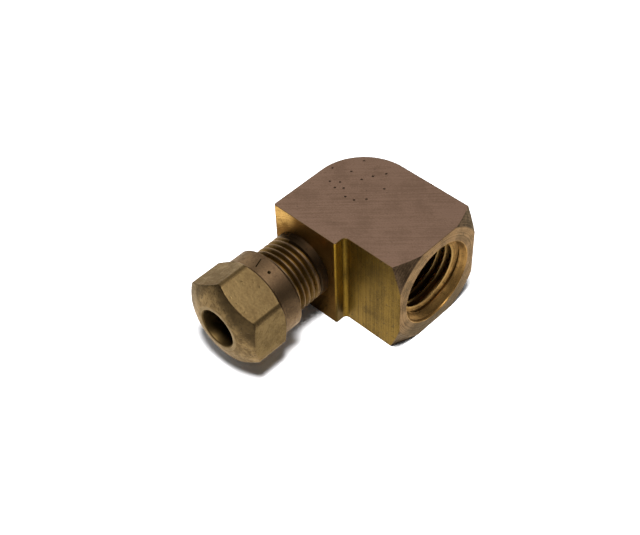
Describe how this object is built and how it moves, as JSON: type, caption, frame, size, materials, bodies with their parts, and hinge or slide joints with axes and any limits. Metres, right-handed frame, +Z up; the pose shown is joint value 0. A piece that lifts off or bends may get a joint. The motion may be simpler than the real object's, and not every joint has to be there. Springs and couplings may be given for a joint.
{
  "type": "compression elbow fitting",
  "caption": "Brass compression elbow with a female pipe port at one end and a threaded tube arm, sleeve and hexagon nut at the other.",
  "frame": {"origin": "on the resting face, straight below the point where the port axis and the tube axis cross", "axes": "+X out of the female pipe port, -Y out of the tube arm and its nut, +Z up from the face that it rests on"},
  "size_m": [0.026, 0.039, 0.0183],
  "materials": {
    "elbow_brass": "dull aged brass, sawn faces and drawn sides",
    "nut_brass": "dull turned brass with a darker nose",
    "sleeve_brass": "clean turned brass"
  },
  "bodies": {
    "elbow": {"elbow_body": "elbow_brass"},
    "sleeve_carrier": {"sleeve": "sleeve_brass"},
    "nut": {"compression_nut": "nut_brass"}
  },
  "joints": [
    {"name": "sleeve_slide", "type": "slide", "parent": "elbow", "child": "sleeve_carrier", "axis": [0, -1, 0], "range_m": [-0.00133, 0.00371]},
    {"name": "nut_spin", "type": "hinge", "parent": "sleeve_carrier", "child": "nut", "pos_m": [0, -0.0245, 0.00915], "axis": [0, -1, 0], "range_deg": [-450, 1260]}
  ],
  "couplings": [
    {"joint": "sleeve_slide", "follows": "nut_spin", "m_per_rad": 0.00016844}
  ]
}
